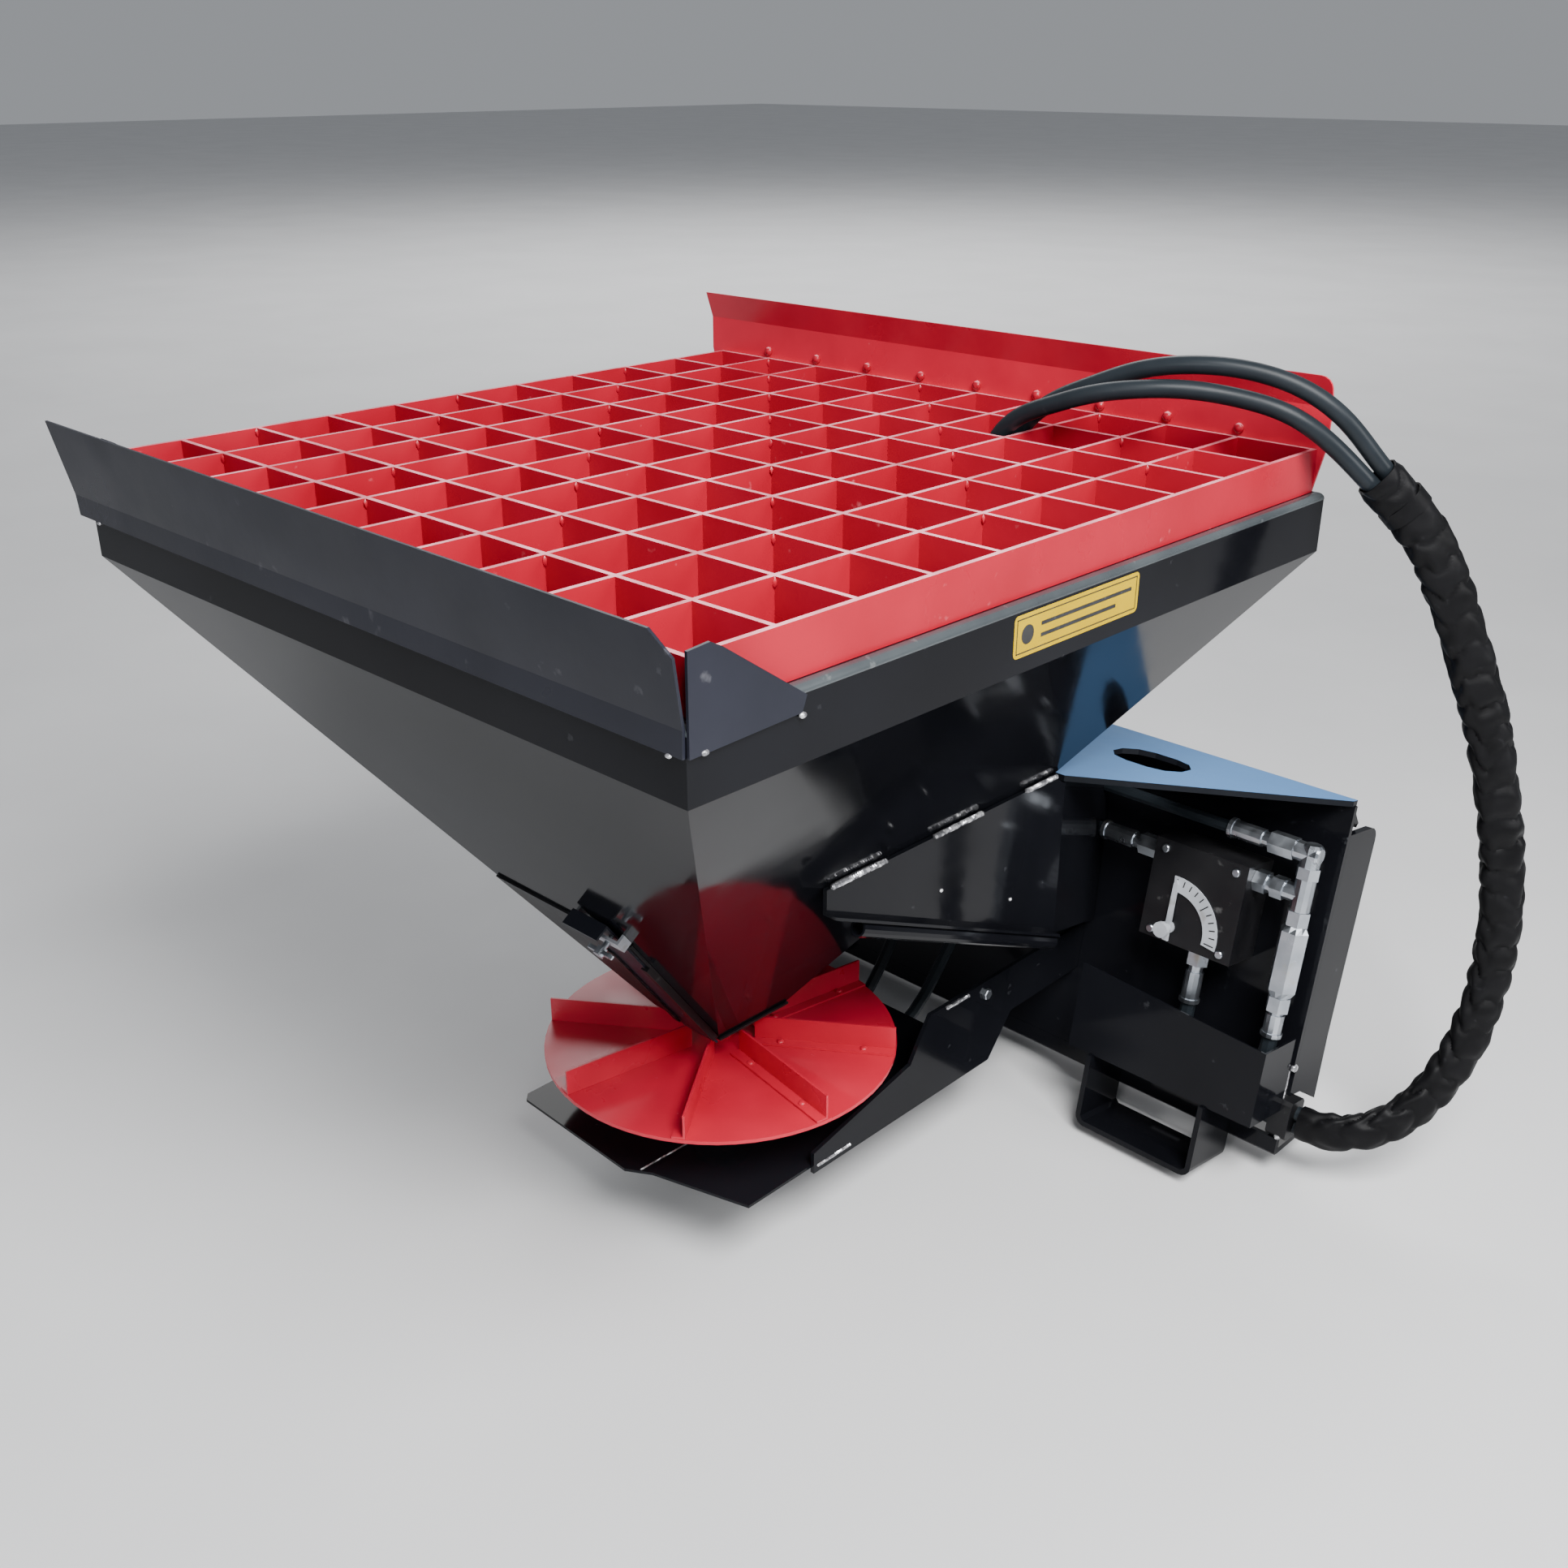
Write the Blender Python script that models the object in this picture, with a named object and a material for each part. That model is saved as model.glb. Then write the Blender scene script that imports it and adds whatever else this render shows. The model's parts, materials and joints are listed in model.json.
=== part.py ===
"""Hydraulic spinner spreader for a skid-steer loader: a square hopper on a quick-attach frame.

Metres, +Z up, +X to the object's right, +Y to the loader. The origin is on the ground, under the
middle of the rigid part. Three frames place everything: the hopper frame, on the hopper's axis at
the top of the grate; the loader frame, tilted back against it, whose +Y is the loader's side; and
the front wall's, whose +Y runs up the sloping wall and whose +Z points out of it.
"""
import math

import bmesh
import bpy
import numpy as np
from mathutils import Vector

for old in list(bpy.data.objects):
    bpy.data.objects.remove(old, do_unlink=True)

# ---------------------------------------------------------------- driving dimensions
GAP = 0.0003                     # clearance between touching solids
HOSE_GAP = 0.0012                # clearance at a hose's end, which may lean a little
SHEET = 0.003                    # sheet steel of the hopper
PLATE = 0.006                    # plate of the side frames and arms
HEAVY = 0.008                    # plate of the loader frame

GRATE_Z = 1.0486                 # top of the grate above the ground
HOPPER_Y = -0.0868               # hopper axis, from the middle of the rigid part
PITCH = 0.1016                   # grate cell, 4 in
CELLS = 10
GRATE_BAR = 0.006
GRATE_DEPTH = 0.0517
GRATE_HALF = CELLS * PITCH / 2 + GRATE_BAR / 2

HOPPER_HALF = 0.5225
LEDGE_Z = -0.052                 # top of the hopper's inturned rim
BEND_Z = -0.125                  # where the walls turn in
OUTLET_Z = -0.762
SPOUT_Z = -0.640
OUTLET_HALF = 0.063
WALL_TURN = math.pi - math.atan2(BEND_Z - OUTLET_Z, HOPPER_HALF - OUTLET_HALF)

GATE_X = 0.030                   # the gate's middle line on the front wall
GATE_HALF = 0.032

DISC_R = 0.244
DISC_TOP = -0.815
DISC_T = 0.005
VANES = 8
VANE_HEIGHT = 0.036
VANE_START = math.radians(-9.5)

PAN_TOP = -0.915
PAN_HALF = 0.200
PAN_T = 0.004

TILT = math.radians(10)          # loader frame against the hopper
LOADER_Y = 0.640                 # top rear corner of the loader frame, in the hopper frame
LOADER_Z = -0.483
LOADER_HALF = 0.575
FLUID_Y = -0.050                 # plane of the fittings, in the loader frame

HOSE_R = 0.011
MOTOR_HOSE_R = 0.009
HOSE_SPREAD = 0.0113             # each hose from the middle of the bundle

# Hose routes, in the hopper frame: the bundle from the outlet block to the sleeve's mouth, then
# each hose over the grate and down into the hopper.
BUNDLE = [(0.5886, 0.5650, -0.9546), (0.6090, 0.5657, -0.9550), (0.6330, 0.5703, -0.9538),
          (0.6570, 0.5790, -0.9492), (0.6812, 0.5930, -0.9392), (0.7050, 0.6125, -0.9220),
          (0.7250, 0.6345, -0.8960), (0.7420, 0.6570, -0.8590), (0.7570, 0.6790, -0.8050),
          (0.7660, 0.6950, -0.7100), (0.7600, 0.6940, -0.5680), (0.7430, 0.6780, -0.4600),
          (0.7180, 0.6530, -0.3440), (0.6840, 0.6190, -0.2290), (0.6530, 0.5880, -0.1380),
          (0.6210, 0.5560, -0.0720), (0.5860, 0.5190, -0.0220)]
INNER_END = [(0.500, 0.446, 0.050), (0.449, 0.423, 0.064), (0.396, 0.392, 0.071),
             (0.347, 0.362, 0.069), (0.297, 0.342, 0.059), (0.250, 0.332, 0.042),
             (0.213, 0.329, 0.026), (0.184, 0.328, 0.003), (0.163, 0.328, -0.033),
             (0.151, 0.330, -0.078), (0.145, 0.332, -0.125), (0.144, 0.334, -0.170)]
OUTER_END = [(0.552, 0.484, 0.046), (0.515, 0.464, 0.074), (0.455, 0.436, 0.094),
             (0.388, 0.406, 0.097), (0.326, 0.388, 0.084), (0.278, 0.378, 0.064),
             (0.240, 0.371, 0.046), (0.208, 0.369, 0.025), (0.181, 0.368, -0.003),
             (0.161, 0.367, -0.042), (0.151, 0.368, -0.088), (0.148, 0.370, -0.140),
             (0.146, 0.372, -0.190)]
MOTOR_HOSE_A = [(0.2330, 0.5661, -0.6141), (0.190, 0.5661, -0.6141), (0.125, 0.560, -0.628),
                (0.078, 0.535, -0.685), (0.056, 0.488, -0.765), (0.050, 0.420, -0.860),
                (0.046, 0.365, -0.922), (0.040, 0.305, -0.952), (0.032, 0.200, -0.965),
                (0.030, 0.140, -0.966), (0.030, 0.0753, -0.966)]
MOTOR_HOSE_B = [(0.4277, 0.5774, -0.5501), (0.330, 0.5774, -0.5501), (0.220, 0.5774, -0.5501),
                (0.130, 0.574, -0.553), (0.030, 0.560, -0.585), (-0.025, 0.530, -0.660),
                (-0.048, 0.480, -0.760), (-0.050, 0.420, -0.860), (-0.047, 0.365, -0.922),
                (-0.040, 0.305, -0.952), (-0.032, 0.200, -0.965), (-0.030, 0.140, -0.966),
                (-0.030, 0.0753, -0.966)]
# Short hoses behind the lower cover, in the loader frame.
STUB_INNER = [(0.549, FLUID_Y, -0.3470), (0.547, -0.049, -0.372), (0.536, -0.040, -0.408),
              (0.524, -0.016, -0.440), (0.531, 0.004, -0.461), (0.5535, 0.008, -0.466)]
STUB_OUTER = [(0.419, FLUID_Y, -0.3470), (0.420, -0.049, -0.380), (0.430, -0.034, -0.418),
              (0.452, -0.010, -0.450), (0.480, 0.006, -0.474), (0.515, 0.008, -0.487),
              (0.5535, 0.008, -0.489)]

# ---------------------------------------------------------------- materials
def material(name, colour, roughness, metallic):
    made = bpy.data.materials.new(name)
    made.use_nodes = True
    shader = made.node_tree.nodes["Principled BSDF"]
    shader.inputs["Base Color"].default_value = (*colour, 1)
    shader.inputs["Roughness"].default_value = roughness
    shader.inputs["Metallic"].default_value = metallic
    return made


BLACK = material("gloss_black_paint", (0.020, 0.022, 0.028), 0.16, 0.0)
BLUE = material("top_plate_paint", (0.19, 0.34, 0.52), 0.40, 0.0)
RED = material("red_powder_coat", (0.58, 0.035, 0.055), 0.42, 0.0)
ZINC = material("zinc_plate", (0.62, 0.65, 0.68), 0.30, 1.0)
STEEL = material("bare_steel", (0.45, 0.45, 0.46), 0.35, 1.0)
IRON = material("cast_black_paint", (0.03, 0.03, 0.035), 0.5, 0.0)
RUBBER = material("hose_rubber", (0.045, 0.055, 0.065), 0.55, 0.0)
FABRIC = material("sleeve_fabric", (0.012, 0.012, 0.014), 0.85, 0.0)


# ---------------------------------------------------------------- frames
def empty(name, location, parent=None, tilt=0.0):
    made = bpy.data.objects.new(name, None)
    made.location = location
    made.rotation_euler = (tilt, 0, 0)
    made.parent = parent
    bpy.context.collection.objects.link(made)
    return made


HOPPER = empty("hopper_frame", (0, HOPPER_Y, GRATE_Z))
LOADER = empty("loader_frame", (0, LOADER_Y, LOADER_Z), HOPPER, -TILT)
SPINNER = empty("spinner_axis", (0, 0, DISC_TOP), HOPPER)
FRONT = empty("front_wall", (0, -OUTLET_HALF, OUTLET_Z), HOPPER, WALL_TURN)
GATE = empty("gate_slide", (0, 0, 0), FRONT)
CLAMP = empty("gate_clamp_axis", (0.052, 0.271, 0), FRONT)
LEVER = empty("flow_lever_axis", (0.380, -0.0785, -0.238), LOADER)


# ---------------------------------------------------------------- tools
def add(name, shape, mat, parent):
    """Make the bmesh an object under its parent, with its faces pointing out."""
    bmesh.ops.recalc_face_normals(shape, faces=shape.faces)
    mesh = bpy.data.meshes.new(name)
    shape.to_mesh(mesh)
    shape.free()
    mesh.materials.append(mat)
    made = bpy.data.objects.new(name, mesh)
    made.parent = parent
    bpy.context.collection.objects.link(made)
    return made


def combine(target, others, operation):
    """Union or cut the others into the target, which share its parent, and remove them."""
    for other in others:
        step = target.modifiers.new(operation, "BOOLEAN")
        step.operation = operation
        step.object = other
    bpy.context.view_layer.update()
    depsgraph = bpy.context.evaluated_depsgraph_get()
    result = bpy.data.meshes.new_from_object(target.evaluated_get(depsgraph))
    target.modifiers.clear()
    target.data = result
    for other in others:
        bpy.data.objects.remove(other, do_unlink=True)
    return target


def smooth_shading(target, angle=32):
    target.data.shade_smooth()
    target.data.set_sharp_from_angle(angle=math.radians(angle))
    return target


def prism(name, outline, low, high, axis, mat, parent, holes=()):
    """Outline in the two axes after the given one, taken in X, Y, Z order; holes go through."""
    places = {"X": lambda p, h: (h, p[0], p[1]),
              "Y": lambda p, h: (p[0], h, p[1]),
              "Z": lambda p, h: (p[0], p[1], h)}
    place = places[axis]
    shape = bmesh.new()
    base = [shape.verts.new(place(p, low)) for p in outline]
    top = [shape.verts.new(place(p, high)) for p in outline]
    shape.faces.new(base)
    shape.faces.new(top[::-1])
    count = len(outline)
    for k in range(count):
        after = (k + 1) % count
        shape.faces.new((base[k], base[after], top[after], top[k]))
    made = add(name, shape, mat, parent)
    if holes:
        reach = 0.01
        cutters = [prism(name + "_hole", hole, low - reach, high + reach, axis, mat, parent)
                   for hole in holes]
        combine(made, cutters, "DIFFERENCE")
    return made


def box_outline(x0, x1, y0, y1):
    return [(x0, y0), (x1, y0), (x1, y1), (x0, y1)]


def arc(cx, cy, radius, start, stop, steps):
    """Points on an arc, angles in degrees."""
    angles = [math.radians(start + (stop - start) * k / steps) for k in range(steps + 1)]
    return [(cx + radius * math.cos(a), cy + radius * math.sin(a)) for a in angles]


def slot_outline(cx, cy, length, width, steps=5):
    """A slot with round ends, along the first axis."""
    half = (length - width) / 2
    right = arc(cx + half, cy, width / 2, -90, 90, steps)
    left = arc(cx - half, cy, width / 2, 90, 270, steps)
    return right + left


def turned(name, profile, centre, axis, mat, parent, sides=16):
    """Stack of rings along an axis: each is (distance, radius) or (distance, radius, "hex")."""
    ways = {"X": (Vector((1, 0, 0)), Vector((0, 1, 0)), Vector((0, 0, 1))),
            "Y": (Vector((0, 1, 0)), Vector((0, 0, 1)), Vector((1, 0, 0))),
            "Z": (Vector((0, 0, 1)), Vector((1, 0, 0)), Vector((0, 1, 0)))}
    along, across, up = ways[axis]
    flat = math.cos(math.radians(30))
    shape = bmesh.new()
    rings = []
    for distance, radius, *kind in profile:
        ring = []
        for k in range(sides):
            angle = 2 * math.pi * k / sides
            reach = radius
            if kind and sides == 12 and k % 2:
                reach = radius * flat
            offset = across * (math.cos(angle) * reach) + up * (math.sin(angle) * reach)
            ring.append(shape.verts.new(Vector(centre) + along * distance + offset))
        rings.append(ring)
    shape.faces.new(rings[0][::-1])
    shape.faces.new(rings[-1])
    for one, two in zip(rings, rings[1:]):
        for k in range(sides):
            after = (k + 1) % sides
            shape.faces.new((one[k], one[after], two[after], two[k]))
    return smooth_shading(add(name, shape, mat, parent))


def fold(target, axis, at, slope, move):
    """Score a flat sheet across at one coordinate and lean what lies beyond it."""
    index = "XYZ".index(axis)
    moved = "XYZ".index(move)
    shape = bmesh.new()
    shape.from_mesh(target.data)
    normal = [0, 0, 0]
    normal[index] = 1
    point = [0, 0, 0]
    point[index] = at
    everything = shape.verts[:] + shape.edges[:] + shape.faces[:]
    bmesh.ops.bisect_plane(shape, geom=everything, plane_co=point, plane_no=normal)
    for vert in shape.verts:
        if vert.co[index] > at:
            vert.co[moved] += (vert.co[index] - at) * slope
    shape.to_mesh(target.data)
    shape.free()
    return target


def smooth_route(points, step):
    """Evenly spaced points and tangents on the natural cubic spline through a route."""
    points = np.array(points, float)
    knots = np.concatenate([[0], np.cumsum(np.linalg.norm(np.diff(points, axis=0), axis=1))])
    gaps = np.diff(knots)
    size = len(points)
    system = np.eye(size)
    right = np.zeros((size, 3))
    for k in range(1, size - 1):
        system[k, k - 1:k + 2] = gaps[k - 1], 2 * (gaps[k - 1] + gaps[k]), gaps[k]
        right[k] = 6 * ((points[k + 1] - points[k]) / gaps[k]
                        - (points[k] - points[k - 1]) / gaps[k - 1])
    bend = np.linalg.solve(system, right)
    count = max(2, round(knots[-1] / step) + 1)
    places, tangents = [], []
    for s in np.linspace(0, knots[-1], count):
        k = min(int(np.searchsorted(knots, s, side="right")) - 1, size - 2)
        h = gaps[k]
        a = (knots[k + 1] - s) / h
        b = (s - knots[k]) / h
        place = (a * points[k] + b * points[k + 1]
                 + ((a ** 3 - a) * bend[k] + (b ** 3 - b) * bend[k + 1]) * h * h / 6)
        tangent = ((points[k + 1] - points[k]) / h
                   + ((3 * b * b - 1) * bend[k + 1] - (3 * a * a - 1) * bend[k]) * h / 6)
        places.append(place)
        tangents.append(tangent / np.linalg.norm(tangent))
    return np.array(places), np.array(tangents)


def tube(name, points, radius, step, mat, parent):
    """A hose as a curve with round section and closed ends."""
    places, _ = smooth_route(points, step)
    curve = bpy.data.curves.new(name, "CURVE")
    curve.dimensions = "3D"
    curve.bevel_depth = radius
    curve.bevel_resolution = 2
    curve.use_fill_caps = True
    spline = curve.splines.new("POLY")
    spline.points.add(len(places) - 1)
    for point, place in zip(spline.points, places):
        point.co = (*place, 1)
    curve.materials.append(mat)
    made = bpy.data.objects.new(name, curve)
    made.parent = parent
    bpy.context.collection.objects.link(made)
    return made


def mirrored(make):
    """Build a part for the right (+1) and the left (-1)."""
    for side, word in ((1, "right"), (-1, "left")):
        make(side, word)


def flip(outline, side):
    """Outline with its first axis mirrored for the left."""
    return [(side * x, y) for x, y in outline]


def span(side, low, high):
    return (low, high) if side > 0 else (-high, -low)


# ---------------------------------------------------------------- hopper
def sloping_wall(z):
    """Outer and inner half widths of the sloping walls at a height."""
    wall = SHEET * 1.25
    outer = OUTLET_HALF + (HOPPER_HALF - OUTLET_HALF) * (z - OUTLET_Z) / (BEND_Z - OUTLET_Z)
    inner_rise = HOPPER_HALF - SHEET - OUTLET_HALF + wall
    inner = OUTLET_HALF - wall + inner_rise * (z - OUTLET_Z) / (BEND_Z - 0.001 - OUTLET_Z)
    return outer, inner


def square_ring(name, profile):
    """A square wall swept round the hopper's axis from (half width, height) points."""
    corners = ((1, 1), (-1, 1), (-1, -1), (1, -1))
    shape = bmesh.new()
    rings = [[shape.verts.new((w * x, w * y, z)) for x, y in corners] for w, z in profile]
    for one, two in zip(rings, rings[1:] + rings[:1]):
        for k in range(4):
            after = (k + 1) % 4
            shape.faces.new((one[k], one[after], two[after], two[k]))
    add(name, shape, BLACK, HOPPER)


def hopper():
    """Shell with inturned rim, upright band and four sloping walls, and the spout below it."""
    outer, inner = sloping_wall(SPOUT_Z)
    square_ring("hopper_shell", [
        (0.494, LEDGE_Z), (0.5145, LEDGE_Z), (0.5202, LEDGE_Z - 0.0024),
        (HOPPER_HALF, LEDGE_Z - 0.008), (HOPPER_HALF, BEND_Z), (outer, SPOUT_Z),
        (inner, SPOUT_Z), (HOPPER_HALF - SHEET, BEND_Z - 0.001),
        (HOPPER_HALF - SHEET, LEDGE_Z - 0.008), (0.5145, LEDGE_Z - SHEET),
        (0.494, LEDGE_Z - SHEET)])
    top = SPOUT_Z - GAP
    outer, inner = sloping_wall(top)
    low_outer, low_inner = sloping_wall(OUTLET_Z)
    square_ring("hopper_spout", [(outer, top), (low_outer, OUTLET_Z), (low_inner, OUTLET_Z),
                                 (inner, top)])


def grate():
    """Welded lattice of flat bars on edge."""
    lines = [k * PITCH - CELLS * PITCH / 2 for k in range(CELLS + 1)]
    cuts = [line + side * GRATE_BAR / 2 for line in lines for side in (-1, 1)]
    size = len(cuts)
    shape = bmesh.new()
    layers = [[[shape.verts.new((x, y, z)) for y in cuts] for x in cuts]
              for z in (0, -GRATE_DEPTH)]
    top, low = layers
    for i in range(size - 1):
        for j in range(size - 1):
            square = [(i, j), (i + 1, j), (i + 1, j + 1), (i, j + 1)]
            if i % 2 and j % 2:
                for k in range(4):
                    (a, b), (c, d) = square[k], square[(k + 1) % 4]
                    shape.faces.new((top[a][b], top[c][d], low[c][d], low[a][b]))
            else:
                shape.faces.new([top[a][b] for a, b in square])
                shape.faces.new([low[a][b] for a, b in reversed(square)])
    last = size - 1
    for k in range(size - 1):
        for a, b, c, d in ((k, 0, k + 1, 0), (last, k, last, k + 1),
                           (k + 1, last, k, last), (0, k + 1, 0, k)):
            shape.faces.new((top[a][b], top[c][d], low[c][d], low[a][b]))
    add("grate", shape, RED, HOPPER)


def rear_deflector():
    """Upright red sheet behind the grate, its upper band folded forward."""
    low, fold_z, top = LEDGE_Z + GAP, 0.050, 0.088
    outline = ([(-0.533, 0.002), (-0.518, low), (0.510, low), (0.522, 0.002)]
               + arc(0.510, top - 0.014, 0.014, 0, 90, 4) + [(-0.533, top)])
    front = GRATE_HALF + GAP
    made = prism("rear_deflector", outline, front, front + SHEET, "Y", RED, HOPPER)
    fold(made, "Z", fold_z, -0.35, "Y")


def front_lip_guard():
    """Black sheet along the front rim, flared forward above the rim."""
    outline = [(-0.555, -0.080), (0.5215, -0.080), (0.5235, 0.008), (0.499, 0.028), (-0.575, 0.033)]
    front = -HOPPER_HALF - GAP
    made = prism("front_lip_guard", outline, front - SHEET, front, "Y", BLACK, HOPPER)
    fold(made, "Z", -0.055, -0.16, "Y")


def lip_wing(side, word):
    """Cheek at each end of the front lip, lying on the hopper's band."""
    outline = [(-0.522, -0.080), (-0.393, -0.076), (-0.387, -0.061), (-0.484, 0.006),
               (-0.497, 0.013), (-0.522, 0.011)]
    low, high = span(side, HOPPER_HALF + GAP, HOPPER_HALF + GAP + SHEET)
    prism("lip_wing_" + word, outline, low, high, "X", BLACK, HOPPER)


# ---------------------------------------------------------------- outlet and gate
def outlet():
    """Notch at the foot of the front wall, and the floor plate that closes the hopper's tip."""
    spout = bpy.data.objects["hopper_spout"]
    notch = prism("notch", notch_outline(), -0.012, 0.006, "Z", BLACK, FRONT)
    combine(spout, [notch], "DIFFERENCE")
    top = OUTLET_Z - GAP
    reach = OUTLET_HALF + 0.003
    prism("outlet_floor", box_outline(-reach, reach, -OUTLET_HALF, reach), top - SHEET, top, "Z",
          BLACK, HOPPER)


def notch_outline():
    half = GATE_HALF - 0.008
    return box_outline(GATE_X - half, GATE_X + half, -0.020, 0.080)


def gate_rails():
    """Plate welded on the front wall round the notch, with two rails that hold the gate."""
    outline = [(-0.060, 0.002), (0.0630, 0.002), (0.0685, 0.012), (0.0685, 0.250), (-0.203, 0.250)]
    base_top, lip_low, lip_top = GAP + SHEET, 0.0075, 0.0100
    made = prism("gate_rails", outline, GAP, base_top, "Z", BLACK, FRONT, holes=[notch_outline()])
    rails = []
    for side in (1, -1):
        web = sorted(GATE_X + side * x for x in (GATE_HALF + 0.0005, GATE_HALF + 0.0065))
        lip = sorted(GATE_X + side * x for x in (GATE_HALF - 0.0050, GATE_HALF + 0.0065))
        rails.append(prism("web", box_outline(*web, 0.0125, 0.200), base_top - 0.001, lip_low + 0.001,
                           "Z", BLACK, FRONT))
        rails.append(prism("lip", box_outline(*lip, 0.0125, 0.200), lip_low, lip_top, "Z", BLACK,
                           FRONT))
    combine(made, rails, "UNION")


def gate_plate():
    """Gate that slides up the front wall, with a pull flange at its upper end."""
    low, high, top = 0.0040, 0.0070, 0.300
    made = prism("gate_plate", box_outline(GATE_X - GATE_HALF, GATE_X + GATE_HALF, -0.004, top),
                 low, high, "Z", BLACK, GATE)
    pull = prism("pull", box_outline(GATE_X - GATE_HALF, GATE_X + GATE_HALF, top - SHEET, top),
                 low + 0.001, 0.026, "Z", BLACK, GATE)
    combine(made, [pull], "UNION")


def gate_bridge():
    """Zinc strap across the gate on two feet, which carries the clamp bolt."""
    half, low, high, under = 0.046, 0.262, 0.280, 0.0110
    hole = arc(0.052, 0.271, 0.0048, 0, 330, 11)
    made = prism("gate_bridge", box_outline(GATE_X - half, GATE_X + half, low, high), under,
                 under + 0.004, "Z", ZINC, FRONT, holes=[hole])
    feet = []
    for side in (1, -1):
        foot = sorted(GATE_X + side * x for x in (half - 0.004, half))
        feet.append(prism("foot", box_outline(*foot, low, high), GAP, under + 0.001, "Z", ZINC,
                          FRONT))
    combine(made, feet, "UNION")


def gate_clamp():
    """Bolt through the bridge that presses on the gate, with a wing to turn it by."""
    made = turned("gate_clamp", [(0.0073, 0.0042), (0.0240, 0.0042), (0.0240, 0.0075),
                                 (0.0350, 0.0075)], (0, 0, 0), "Z", ZINC, CLAMP, sides=12)
    wing = prism("wing", slot_outline(0, 0, 0.044, 0.009), 0.0270, 0.0320, "Z", ZINC, CLAMP)
    combine(made, [wing], "UNION")
    smooth_shading(made)


# ---------------------------------------------------------------- spinner and its drive
def spinner():
    disc = turned("spinner_disc", [(-DISC_T, DISC_R), (0, DISC_R)], (0, 0, 0), "Z", RED, SPINNER,
                  sides=64)
    nut = turned("nut", [(-0.001, 0.016, "hex"), (0.011, 0.016, "hex")], (0, 0, 0), "Z", RED,
                 SPINNER, sides=12)
    combine(disc, [nut], "UNION")
    smooth_shading(disc)
    section = [(0, 0), (-0.018, 0), (-0.018, SHEET), (-SHEET, SHEET), (-SHEET, VANE_HEIGHT),
               (0, VANE_HEIGHT)]
    for k in range(VANES):
        vane = prism("spinner_vane_%d" % (k + 1), section, 0.048, DISC_R - 0.001, "X", RED, SPINNER)
        vane.location = (0, 0, GAP)
        vane.rotation_euler = (0, 0, VANE_START + k * 2 * math.pi / VANES)
    under = -DISC_T - GAP
    turned("spinner_hub", [(under - 0.046, 0.022), (under - 0.012, 0.022), (under - 0.012, 0.040),
                           (under, 0.040)], (0, 0, 0), "Z", STEEL, SPINNER, sides=24)
    hub_low = under - 0.046 - GAP
    shaft_low = PAN_TOP - DISC_TOP - PAN_T + 0.001
    turned("motor_shaft", [(shaft_low, 0.0125), (hub_low, 0.0125)], (0, 0, 0), "Z", STEEL, SPINNER,
           sides=16)


def spinner_pan():
    """Plate under the disc that carries the motor, pointed towards the front right."""
    outline = [(-0.190, -0.200), (0.028, -0.206), (0.061, -0.186), (PAN_HALF, -0.145),
               (PAN_HALF, 0.343), (-PAN_HALF, 0.343), (-PAN_HALF, -0.190)]
    hole = arc(0, 0, 0.030, 0, 345, 23)
    prism("spinner_pan", outline, PAN_TOP - PAN_T, PAN_TOP, "Z", BLACK, HOPPER, holes=[hole])


def motor():
    top = PAN_TOP - PAN_T - GAP
    half, cut = 0.045, 0.014
    ring = [(half, -half + cut), (half, half - cut), (half - cut, half), (-half + cut, half),
            (-half, half - cut), (-half, -half + cut), (-half + cut, -half), (half - cut, -half)]
    body = prism("motor_body", ring, top - 0.084, top - 0.008, "Z", IRON, HOPPER)
    ears = slot_outline(0, 0, 0.150, 0.088, steps=8)
    flange = prism("flange", ears, top - 0.010, top, "Z", IRON, HOPPER)
    combine(body, [flange], "UNION")
    for side, word in ((1, "right"), (-1, "left")):
        start = half + GAP
        turned("motor_port_" + word, [(start, 0.011), (start + 0.006, 0.011),
                                      (start + 0.006, 0.0125, "hex"), (0.062, 0.0125, "hex"),
                                      (0.062, 0.0115), (0.0750, 0.0115)],
               (side * 0.030, 0, -0.966), "Y", ZINC, HOPPER, sides=12)


def arm(side, word):
    """Plate beside the pan that carries it back to the loader plate."""
    outline = [(-0.030, -0.925), (-0.030, -0.893), (0.165, -0.848), (0.185, -0.815),
               (0.205, -0.785), (0.5775, -0.785), (0.5645, -0.860), (0.395, -0.862),
               (0.345, -0.925)]
    low, high = span(side, PAN_HALF + GAP, PAN_HALF + GAP + PLATE)
    prism("arm_" + word, outline, low, high, "X", BLACK, HOPPER)


# ---------------------------------------------------------------- side frames
SIDE_X = 0.3105
SIDE_FOLD_Y = 0.330
SIDE_SLOPE = -0.3750             # how far the rear of a side frame leans in, per metre


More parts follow.
